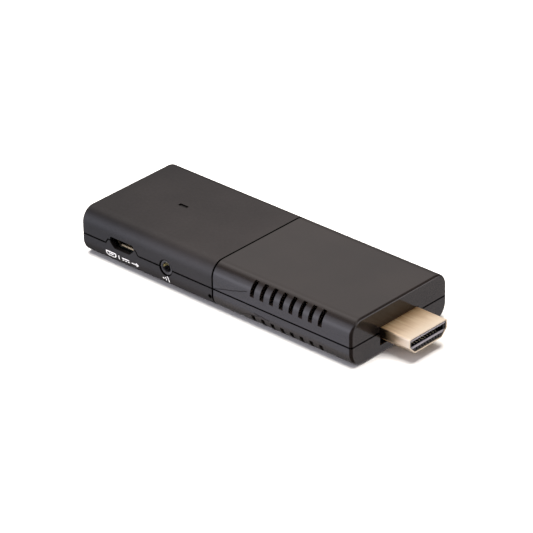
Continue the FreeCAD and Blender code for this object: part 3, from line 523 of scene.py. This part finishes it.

# %% [markdown]
# ### Painted dark reflections
# The near side of the polished half also has three dark painted reflections, thin lines that waver as
# they rise and fall along it. Each is drawn where the height equals a slanted line plus some noise
# along X. They are painted as a metal that is nearly black, which mirrors far less than plastic does,
# so they show as dark lines in the reflection. The painted shade in the grooves joins them.

# %% Painted dark reflections on the near side
# Painted reflections: three dark wavering lines on the near side of the polished half.
painted_reflection_lines = [
    {"start_x": -4.8, "start_z": 6.1, "rise": 0.27, "length": 11.5},
    {"start_x": 1.5, "start_z": 1.6, "rise": 0.26, "length": 9.0},
    {"start_x": 9.0, "start_z": 4.3, "rise": -0.12, "length": 5.0},
]
painted_reflection_half_width = 0.14
painted_reflection_darkness = 0.7
wander_height = 1.2
only_along = add(tree, "Mapping", {"Scale": (1, 0, 0)}, {"Vector": place}).outputs["Vector"]
wander = grain(tree, only_along, size=4, detail=3)
marks = []
for painted_reflection_line in painted_reflection_lines:
    rise = painted_reflection_line["rise"]
    half_length = painted_reflection_line["length"] / 2
    height_at_zero = painted_reflection_line["start_z"] - rise * painted_reflection_line["start_x"] - wander_height / 2
    lifted = add(tree, "Math", {1: rise, 2: mm(height_at_zero)}, {0: where["X"]},
                 operation="MULTIPLY_ADD").outputs[0]
    wavering = add(tree, "Math", {1: mm(wander_height)}, {0: wander, 2: lifted},
                   operation="MULTIPLY_ADD").outputs[0]
    line = add(tree, "Math", {2: mm(painted_reflection_half_width)}, {0: where["Z"], 1: wavering},
               operation="COMPARE").outputs[0]
    span = add(tree, "Math", {1: mm(painted_reflection_line["start_x"] + half_length), 2: mm(half_length)},
               {0: where["X"]}, operation="COMPARE").outputs[0]
    marks.append(add(tree, "Math", links={0: line, 1: span}, operation="MULTIPLY").outputs[0])
any_mark = marks[0]
for mark in marks[1:]:
    any_mark = add(tree, "Math", links={0: any_mark, 1: mark}, operation="MAXIMUM").outputs[0]
near_side = add(tree, "Math", {1: mm(side_faces_from_y)}, {0: where["Y"]},
                operation="LESS_THAN").outputs[0]
there = add(tree, "Math", links={0: any_mark, 1: near_side}, operation="MULTIPLY").outputs[0]
faint = add(tree, "Math", {1: painted_reflection_darkness}, {0: there}, operation="MULTIPLY").outputs[0]
dark = add(tree, "Math", links={0: faint, 1: shade_in_grooves(tree, place)},
           operation="MAXIMUM").outputs[0]
tree.links.new(dark, shader.inputs["Metallic"])
dress(polished, "front_upper_cover", "front_lower_cover")

# %% [markdown]
# ## Gilt plug shell
# The plug's shell is drawn steel sheet with a flash of pale gold. Gold is a metal, so its colour is mostly
# in its reflections, but this film is so finely rubbed that it also scatters some light: the shader is
# four fifths metal. Sheet is rolled before it is folded, which leaves faint lines along the plug, drawn
# with grain stretched along X. The colour grows paler towards the tip, a painted highlight.

# %% Gold flash on drawn sheet
plug_root_x = 40.4
plug_tip_x = 49.6
gilt, tree, shader, place = finish_for("Gold flash on drawn sheet", "#EED6B2", roughness=0.34, Metallic=0.82)
rolled = grain(tree, place, size=0.7, detail=4, stretch=(0.1, 1, 1))
streaked = vary_colour(tree, shader, rolled, "#D9A468", "#F8D6A8")
vary_roughness(tree, shader, rolled, low=0.28, high=0.40)
raise_grain(tree, shader, rolled, depth=0.003)
on_plug = add(tree, "SeparateXYZ", links={0: place}).outputs
# Painted highlight: the colour grows paler from the root to the tip.
paler_share = add(tree, "MapRange", {"From Min": mm(plug_root_x), "From Max": mm(plug_tip_x)},
             {"Value": on_plug["X"]}).outputs["Result"]
paler = add(tree, "Mix", {colour_other: linear("#FAEAD2")}, {0: paler_share, colour_one: streaked},
            data_type="RGBA").outputs[colour_mixed]
print("gilt from X", plug_root_x, "to", plug_tip_x, "mm")

# %% [markdown]
# ### Painted dark reflection at the plug's root
# The near side of the plug is painted dark at its root, a painted reflection of the black housing. It is
# densest at the root and ends a little before the tip, and the rolled lines make it ragged. Only the
# outer skin on that side has it, so Y tells where it starts.

# %% Ragged painted reflection on the near side
housing_reflection_starts_y = -6.5
housing_reflection_full_y = -6.8
bright_tip_length = 2.5
housing_reflection_at_root = 1.4
housing_reflection_at_tip = -0.35
raggedness = 0.9
near_side = add(tree, "MapRange", {"From Min": mm(housing_reflection_starts_y), "From Max": mm(housing_reflection_full_y)},
                {"Value": on_plug["Y"]}).outputs["Result"]
from_root = add(tree, "MapRange", {"From Min": mm(plug_root_x), "From Max": mm(plug_tip_x - bright_tip_length),
                                   "To Min": housing_reflection_at_root, "To Max": housing_reflection_at_tip},
                {"Value": on_plug["X"]}).outputs["Result"]
ragged = add(tree, "Math", {1: raggedness, 2: -raggedness / 2}, {0: rolled},
             operation="MULTIPLY_ADD").outputs[0]
housing_reflection_share = add(tree, "Math", links={0: from_root, 1: ragged}, operation="ADD", use_clamp=True).outputs[0]
darkened = add(tree, "Math", links={0: near_side, 1: housing_reflection_share}, operation="MULTIPLY").outputs[0]
# Painted reflection: dark brown where the black housing is mirrored near the root.
finished = add(tree, "Mix", {colour_other: linear("#2C2318")}, {0: darkened, colour_one: paler},
               data_type="RGBA").outputs[colour_mixed]
tree.links.new(finished, shader.inputs["Base Color"])
dress(gilt, "hdmi_plug_shell")

# %% [markdown]
# ## Plug and power contacts
# These contacts are copper alloy with hard gold. Where they face the camera they show as small pale
# strips, nearly cream, because the gold is matt there: half metal and rather rough gives that.

# %% Hard gold on contacts
contact_gold, tree, shader, place = finish_for("Hard gold on copper alloy", "#F0E8D2", roughness=0.55,
                                               Metallic=0.5)
worn = grain(tree, place, size=0.4, detail=3)
vary_colour(tree, shader, worn, "#E6DCC0", "#F6F0E0")
vary_roughness(tree, shader, worn, low=0.48, high=0.62)
dress(contact_gold, "hdmi_upper_contacts", "hdmi_lower_contacts", "usb_socket_contacts")

# %% [markdown]
# ## Jack contacts
# The jack's springs are bronze with a yellower gold, and catch the light deep in the round hole. A plain
# metal would only mirror the dark hole there, so half of the light is scattered.

# %% Bright gold in the jack
spring_gold, tree, shader, place = finish_for("Bright gold on spring bronze", "#F2E3A0", roughness=0.4,
                                              Metallic=0.5)
vary_colour(tree, shader, grain(tree, place, size=0.4, detail=3), "#EAD88E", "#F8EDB6")
dress(spring_gold, "infrared_jack_contacts")

# %% [markdown]
# ## Nickel
# The switch cover and its terminals, the crystal's lid, the wireless shield and the antenna are stamped
# sheet with bright nickel: grey, a little warm, and brushed by the stamping tool across the stick.

# %% Bright nickel on stamped sheet
nickel, tree, shader, place = finish_for("Bright nickel on stamped sheet", "#CFC9BE", roughness=0.28,
                                         Metallic=1.0)
stamped = grain(tree, place, size=0.6, detail=3, stretch=(1, 0.15, 1))
vary_colour(tree, shader, stamped, "#C2BCB1", "#DAD5CB")
vary_roughness(tree, shader, stamped, low=0.22, high=0.36)
raise_grain(tree, shader, stamped, depth=0.002)
dress(nickel, "reset_switch_cover", "reset_switch_terminals", "clock_crystal",
      "wireless_shield", "antenna")

# %% [markdown]
# ## Dull tin
# The power socket's shell is tinned so that it takes solder. Tin tarnishes to a brownish grey, so the
# socket's rim hardly stands out from the black plastic.

# %% Dull tin on the power socket
tin, tree, shader, place = finish_for("Dull tin on stamped sheet", "#A3947A", roughness=0.5, Metallic=1.0)
dulled = grain(tree, place, size=0.5, detail=3, stretch=(1, 0.2, 1))
vary_colour(tree, shader, dulled, "#94866D", "#B0A288")
vary_roughness(tree, shader, dulled, low=0.42, high=0.58)
dress(tin, "usb_socket_shell")

# %% [markdown]
# ## Spring steel
# The dome under the reset switch's plunger is bare rolled spring steel, cooler in colour than nickel, with
# fine lines along the strip that it was punched from.

# %% Rolled spring steel
spring, tree, shader, place = finish_for("Rolled spring steel", "#A9A8A6", roughness=0.35, Metallic=1.0)
strip_lines = grain(tree, place, size=0.3, detail=3, stretch=(0.2, 1, 1))
vary_roughness(tree, shader, strip_lines, low=0.28, high=0.42)
dress(spring, "reset_switch_dome")

# %% [markdown]
# ## Inside of the plug
# The inside of the plug is glass-filled nylon: nearly black, with a faint sparkle where short fibres
# come to the surface. Its two front lips, above and below the slot, are painted a pale grey, and they
# are found from X and Z, so no separate piece is needed. The power socket's tongue is the same plastic.

# %% Glass-filled nylon with pale front lips
lips_from_x = 49.1
lips = [{"z": 6.3, "half_height": 0.2}, {"z": 4.35, "half_height": 0.3}]
nylon, tree, shader, place = finish_for("Black glass-filled nylon", "#1C1B1E", roughness=0.42, IOR=1.53)
fibres = grain(tree, place, size=0.25, detail=4, stretch=(0.3, 1, 1))
body = vary_colour(tree, shader, fibres, "#151417", "#211F24")
raise_grain(tree, shader, fibres, depth=0.004)
spot = add(tree, "SeparateXYZ", links={0: place}).outputs
in_front = add(tree, "Math", {1: mm(lips_from_x)}, {0: spot["X"]}, operation="GREATER_THAN").outputs[0]
on_lip = [add(tree, "Math", {1: mm(lip["z"]), 2: mm(lip["half_height"])}, {0: spot["Z"]},
              operation="COMPARE").outputs[0] for lip in lips]
either = add(tree, "Math", links={0: on_lip[0], 1: on_lip[1]}, operation="ADD").outputs[0]
paler_share = add(tree, "Math", links={0: either, 1: in_front}, operation="MULTIPLY").outputs[0]
paler = add(tree, "Mix", {colour_other: linear("#8A868E")}, {0: paler_share, colour_one: body},
            data_type="RGBA").outputs[colour_mixed]
tree.links.new(paler, shader.inputs["Base Color"])
dress(nylon, "hdmi_plug_insulator", "usb_socket_tongue")

# %% [markdown]
# ## Plastics of the jack and the switch
# The jack's body is polyester in a dark grey. The small reset switch has a pale base, of a plastic that
# stands the heat of soldering and shows flow marks, and a black plunger, so the pinhole looks empty.

# %% Polyester, liquid crystal polymer and polyamide
jack_grey, tree, shader, place = finish_for("Grey moulded polyester", "#2E2C2E", roughness=0.38, IOR=1.57)
vary_colour(tree, shader, grain(tree, place, size=1.2, detail=3), "#282628", "#353335")
raise_grain(tree, shader, grain(tree, place, size=0.25), depth=0.003)
dress(jack_grey, "infrared_jack_body")

switch_cream, tree, shader, place = finish_for("Cream liquid crystal polymer", "#CFC6AE", roughness=0.45,
                                               IOR=1.55)
flow_marks = grain(tree, place, size=0.5, detail=3, stretch=(1, 0.3, 1))
vary_colour(tree, shader, flow_marks, "#C4BAA0", "#D9D1BB")
dress(switch_cream, "reset_switch_base")

switch_black, tree, shader, place = finish_for("Black moulded polyamide", "#121113", roughness=0.5, IOR=1.53)
vary_colour(tree, shader, grain(tree, place, size=0.3, detail=3), "#0D0C0E", "#19181B")
dress(switch_black, "reset_switch_plunger")

# %% [markdown]
# ## Light guide and status light
# The slot in the top is filled by a pillar of smoked polycarbonate that looks black until the light
# under it is on. The light itself is a chip of clear epoxy.

# %% Smoked polycarbonate and clear epoxy
smoked, tree, shader, place = finish_for("Smoked polycarbonate", "#0A0909", roughness=0.12, IOR=1.585,
                                         Specular_IOR_Level=0.15)
vary_colour(tree, shader, grain(tree, place, size=1.5), "#070606", "#0E0C0C")
vary_roughness(tree, shader, grain(tree, place, size=0.5), low=0.08, high=0.16)
dress(smoked, "light_guide")

epoxy, tree, shader, place = finish_for("Clear casting epoxy", "#E8E2B8", roughness=0.2, IOR=1.53,
                                        Coat_Weight=0.5)
vary_colour(tree, shader, grain(tree, place, size=0.4), "#DDD6A4", "#F0EBCB")
dress(epoxy, "status_led")

# %% [markdown]
# ## Circuit boards
# A board is glass cloth in epoxy with copper tracks under a thin black lacquer. The tracks lie a few
# hundredths of a millimetre proud, so they show as slightly lighter lines. A brick pattern with wide
# gaps reads as tracks here. An image of a real layout would be truer, but no layout is known.

# %% Black solder mask over copper
track_unit = 1.0
track_height = 0.03
mask, tree, shader, place = finish_for("Black solder mask over copper", "#101512", roughness=0.3, IOR=1.55)
tracks = add(tree, "TexBrick", {"Scale": per(track_unit), "Mortar Size": 0.09, "Mortar Smooth": 0.2,
                                "Brick Width": 3.1, "Row Height": 0.7,
                                "Color1": linear("#0C100E"), "Color2": linear("#0F1411"),
                                "Mortar": linear("#1E2A22")}, {"Vector": place}, offset=0.37)
tree.links.new(tracks.outputs["Color"], shader.inputs["Base Color"])
raise_grain(tree, shader, tracks.outputs["Fac"], depth=track_height)
dress(mask, "main_board", "wireless_board")

# %% [markdown]
# ## Parts on the boards
# Chips are moulded in black epoxy full of ground quartz, dull with a fine sandy grain. The heat sink is
# aluminium, sawn from an extrusion and dyed black, because a dark surface radiates better. Between it
# and the processor lies a soft grey-blue silicone pad.

# %% Moulded epoxy, silicone pad and black anodised aluminium
chip_black, tree, shader, place = finish_for("Quartz-filled moulded epoxy", "#1B1B1C", roughness=0.62,
                                             IOR=1.55)
vary_colour(tree, shader, grain(tree, place, size=0.2, detail=4), "#161617", "#232324")
raise_grain(tree, shader, grain(tree, place, size=0.15, detail=3), depth=0.006)
dress(chip_black, "processor_chip", "memory_chips", "flash_chip", "power_chip", "power_inductors",
      "surge_protection_chips")

pad_blue, tree, shader, place = finish_for("Silicone gap pad", "#7C8794", roughness=0.7, IOR=1.41)
vary_colour(tree, shader, grain(tree, place, size=0.5, detail=4), "#717C8A", "#8893A0")
raise_grain(tree, shader, grain(tree, place, size=0.4, detail=3), depth=0.01)
dress(pad_blue, "thermal_pad")

anodised, tree, shader, place = finish_for("Black anodised aluminium", "#1A1A1C", roughness=0.42,
                                           Metallic=0.6)
sawn = grain(tree, place, size=0.25, detail=3, stretch=(1, 0.05, 1))
vary_colour(tree, shader, sawn, "#141416", "#242427")
vary_roughness(tree, shader, sawn, low=0.34, high=0.5)
raise_grain(tree, shader, sawn, depth=0.004)
dress(anodised, "heat_sink")

# %% [markdown]
# ## Capped ceramic parts
# A ceramic capacitor or resistor is one small fired block with a tinned cap on each end. Each node holds
# many of them in a row along X, at one pitch, so the caps are found from X alone: the distance to the
# nearest part's middle, and past a certain distance the surface is tin.

# %% Fired ceramic with tinned ends
small_part_pitch = 3.0
capacitor_row_x = 17.175
resistor_x = 31.475
bulk_x = -28.675


def capped_ceramic(name, dark, pale, pitch, middle, bare_half_length):
    """Ceramic whose ends, seen from the nearest multiple of the pitch along X, are tinned metal."""
    material, tree, shader, place = finish_for(name, pale, roughness=0.4, IOR=1.7)
    along = add(tree, "SeparateXYZ", links={0: place}).outputs["X"]
    start = mm(middle - pitch / 2)
    wrapped = add(tree, "Math", {1: start + mm(pitch), 2: start}, {0: along}, operation="WRAP").outputs[0]
    from_middle = add(tree, "Math", {1: mm(middle)}, {0: wrapped}, operation="SUBTRACT").outputs[0]
    distance = add(tree, "Math", links={0: from_middle}, operation="ABSOLUTE").outputs[0]
    tinned = add(tree, "Math", {1: mm(bare_half_length)}, {0: distance},
                 operation="GREATER_THAN").outputs[0]
    body = vary_colour(tree, shader, grain(tree, place, size=0.3, detail=3), dark, pale)
    capped = add(tree, "Mix", {colour_other: linear("#C9C6C0")}, {0: tinned, colour_one: body},
                 data_type="RGBA").outputs[colour_mixed]
    tree.links.new(capped, shader.inputs["Base Color"])
    tree.links.new(tinned, shader.inputs["Metallic"])
    return material


dress(capped_ceramic("Fired ceramic with tinned ends", "#8A6A4A", "#A07E5A", pitch=small_part_pitch,
                     middle=capacitor_row_x, bare_half_length=0.55), "ceramic_capacitors")
dress(capped_ceramic("Alumina with tinned ends", "#26262A", "#3A3A40", pitch=small_part_pitch,
                     middle=resistor_x, bare_half_length=0.25), "chip_resistors")
dress(capped_ceramic("Tantalum epoxy with tinned ends", "#A67B22", "#BE9130", pitch=2 * small_part_pitch,
                     middle=bulk_x, bare_half_length=1.5), "bulk_capacitors")

# %% [markdown]
# ## Printed marks
# Beside the power socket and the jack stand small white signs, made by pressing a soft pad of ink on the
# curved side: a socket's outline, a bar, the sign for direct current and an arrow, and a dot with two
# waves for the infrared jack. They are drawn flat, as X and a height up the side, with strokes of one
# width: a short edge is extruded from point to point, turned across the run each time. A texture could
# carry them too, but a mesh keeps their edges sharp when close.

# %% Strokes of ink
finest_step = 0.12


def stroke(mesh, points, width):
    """Flat band of ink of one width: a short edge extruded along points of (x, z), in millimetres."""
    ends = []
    for number, point in enumerate(points):
        before = Vector(points[max(number - 1, 0)])
        after = Vector(points[min(number + 1, len(points) - 1)])
        if points[0] == points[-1] and number in (0, len(points) - 1):
            before, after = Vector(points[-2]), Vector(points[1])
        run = (after - before).normalized()
        across = Vector((-run.y, run.x, 0)) * width / 2
        places = [Vector((*point, 0)) + across, Vector((*point, 0)) - across]
        if not ends:
            ends = [mesh.verts.new(place) for place in places]
            mesh.edges.new(ends)
            continue
        made = bmesh.ops.extrude_edge_only(mesh, edges=[mesh.edges.get(ends)])["geom"]
        moved = [part for part in made if isinstance(part, bmesh.types.BMVert)]
        moved.sort(key=lambda vertex: (vertex.co - ends[0].co).length)
        for vertex, place in zip(moved, places):
            vertex.co = place
        ends = moved


def arc_points(x, z, radius, start, end, count):
    """Points on an arc round (x, z), between two angles in degrees."""
    turns = [math.radians(start + (end - start) * number / (count - 1)) for number in range(count)]
    return [(x + radius * math.cos(turn), z + radius * math.sin(turn)) for turn in turns]


def line_points(x0, z0, x1, z1):
    """Points on a straight line, close enough together to follow the rounded edge."""
    count = max(2, math.ceil(math.hypot(x1 - x0, z1 - z0) / finest_step))
    return [(x0 + (x1 - x0) * n / (count - 1), z0 + (z1 - z0) * n / (count - 1)) for n in range(count)]


print("a stroke of 3 mm has", len(line_points(0, 0, 3, 0)), "points")

# %% [markdown]
# ### A socket with its tongue
# The signs beside the power socket stand in a row, all on one middle height. The first is the outline of
# the socket itself, with its lower corners cut, and a stroke for its tongue.

# %% Socket sign
line_width = 0.33
power_middle_z = 3.15
mark_height = 1.25
marks_low = power_middle_z - mark_height / 2
marks_high = power_middle_z + mark_height / 2
outline_left = -41.225
outline_width = 3.2
cut_corner = 0.55
tongue_inset = 0.8
tongue_lift = 0.1


def socket_sign(mesh):
    """A socket's outline with its lower corners cut, and its tongue."""
    left = outline_left
    right = left + outline_width
    corners = [
        (left + cut_corner, marks_low), (right - cut_corner, marks_low), (right, marks_low + cut_corner),
        (right, marks_high), (left, marks_high), (left, marks_low + cut_corner),
        (left + cut_corner, marks_low),
    ]
    points = [corners[0]]
    for one, other in zip(corners, corners[1:]):
        points += line_points(*one, *other)[1:]
    stroke(mesh, points, line_width)
    tongue_z = power_middle_z + tongue_lift
    stroke(mesh, line_points(left + tongue_inset, tongue_z, right - tongue_inset, tongue_z), line_width)


print("signs from Z", round(marks_low, 3), "to", round(marks_high, 3), "mm, strokes", line_width, "mm wide")

# %% [markdown]
# ### Direct current
# An upright bar parts the socket's sign from the next one, the usual sign for direct current: a line over
# three dashes.

# %% Bar and direct current sign
bar_x = -36.925
current_left = -35.825
current_width = 2.5
current_half_gap = 0.3
dash_length = 0.6
dash_count = 3


def direct_current_sign(mesh):
    """An upright bar, and a line over a row of dashes."""
    stroke(mesh, line_points(bar_x, marks_low, bar_x, marks_high), line_width)
    line_z = power_middle_z + current_half_gap
    dash_z = power_middle_z - current_half_gap
    stroke(mesh, line_points(current_left, line_z, current_left + current_width, line_z), line_width)
    for number in range(dash_count):
        x = current_left + number * (current_width - dash_length) / (dash_count - 1)
        stroke(mesh, line_points(x, dash_z, x + dash_length, dash_z), line_width)


print("direct current sign", current_width, "mm long with", dash_count, "dashes")

# %% [markdown]
# ### An arrow
# The last sign of the row is an arrow along the stick: a shaft and two short strokes that meet at its tip.

# %% Arrow sign
arrow_left = -32.525
arrow_tip = -30.225
shaft_end_gap = 0.1
head_length = 0.75
head_rise = 0.5


def arrow_sign(mesh):
    """An arrow that points along the stick."""
    middle = power_middle_z
    stroke(mesh, line_points(arrow_left, middle, arrow_tip - shaft_end_gap, middle), line_width)
    for rise in (-head_rise, head_rise):
        stroke(mesh, line_points(arrow_tip - head_length, middle + rise, arrow_tip, middle), line_width)


print("arrow", round(arrow_tip - arrow_left, 3), "mm long")

# %% [markdown]
# ### Infrared
# The sign below the jack is a dot with two waves that spread from it, all drawn as parts of circles.

# %% Infrared sign
infrared_x = -21.6
infrared_z = 2.85
dot_radius = 0.14
dot_stroke = 0.28
wave_radii = (0.9, 1.75)
wave_stroke = 0.27
wave_half_angle = 36
arc_count = 9


def infrared_sign(mesh):
    """A dot with two waves that spread from it."""
    stroke(mesh, arc_points(infrared_x, infrared_z, dot_radius, 0, 360, arc_count), dot_stroke)
    for radius in wave_radii:
        stroke(mesh, arc_points(infrared_x, infrared_z, radius, -wave_half_angle, wave_half_angle,
                                arc_count), wave_stroke)


print("infrared waves", wave_radii, "mm from their dot")

# %% [markdown]
# ### Ink on the side
# The signs make two pieces of ink. Points that lie on each other are merged, so that the outline and the
# dot are closed. Then each flat drawing is wrapped on the side and its rounded lower edge, two hundredths
# of a millimetre proud, and given to the housing, which it rides on. Pad-printing ink is thick and
# slightly rough, so it stays an even white from all sides.

# %% Wrap the signs on the side
side_y = 17.6
edge_radius = 4.2
ink_thickness = 0.02
same_point = 0.001


def on_side(x, z):
    """Point on the near side of the housing, in metres, wrapped round the lower edge."""
    depth = side_y + ink_thickness
    if z < edge_radius:
        drop = edge_radius - z
        depth = side_y - edge_radius + math.sqrt((edge_radius + ink_thickness) ** 2 - drop ** 2)
    return Vector(mm(x, -depth, z))


def printed(name, *signs):
    """Piece of ink on the near side, riding on the housing."""
    mesh = bmesh.new()
    for sign in signs:
        sign(mesh)
    bmesh.ops.remove_doubles(mesh, verts=mesh.verts, dist=same_point)
    bmesh.ops.recalc_face_normals(mesh, faces=mesh.faces)
    for vertex in mesh.verts:
        vertex.co = on_side(vertex.co.x, vertex.co.y)
    for face in mesh.faces:
        face.normal_update()
        if face.normal.y > 0:
            face.normal_flip()
    data = bpy.data.meshes.new(name)
    mesh.to_mesh(data)
    mesh.free()
    piece = bpy.data.objects.new(name, data)
    bpy.context.scene.collection.objects.link(piece)
    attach(piece, "stick")
    print(name, len(data.polygons), "faces")
    return piece


ink, tree, shader, place = finish_for("White pad-printing ink", "#E9E8EA", roughness=0.5, IOR=1.5)
vary_colour(tree, shader, grain(tree, place, size=0.3, detail=3), "#D6D5D8", "#F4F3F5")
raise_grain(tree, shader, grain(tree, place, size=0.12), depth=0.004)
printed("power_marks", socket_sign, direct_current_sign, arrow_sign).data.materials.append(ink)
printed("infrared_marks", infrared_sign).data.materials.append(ink)
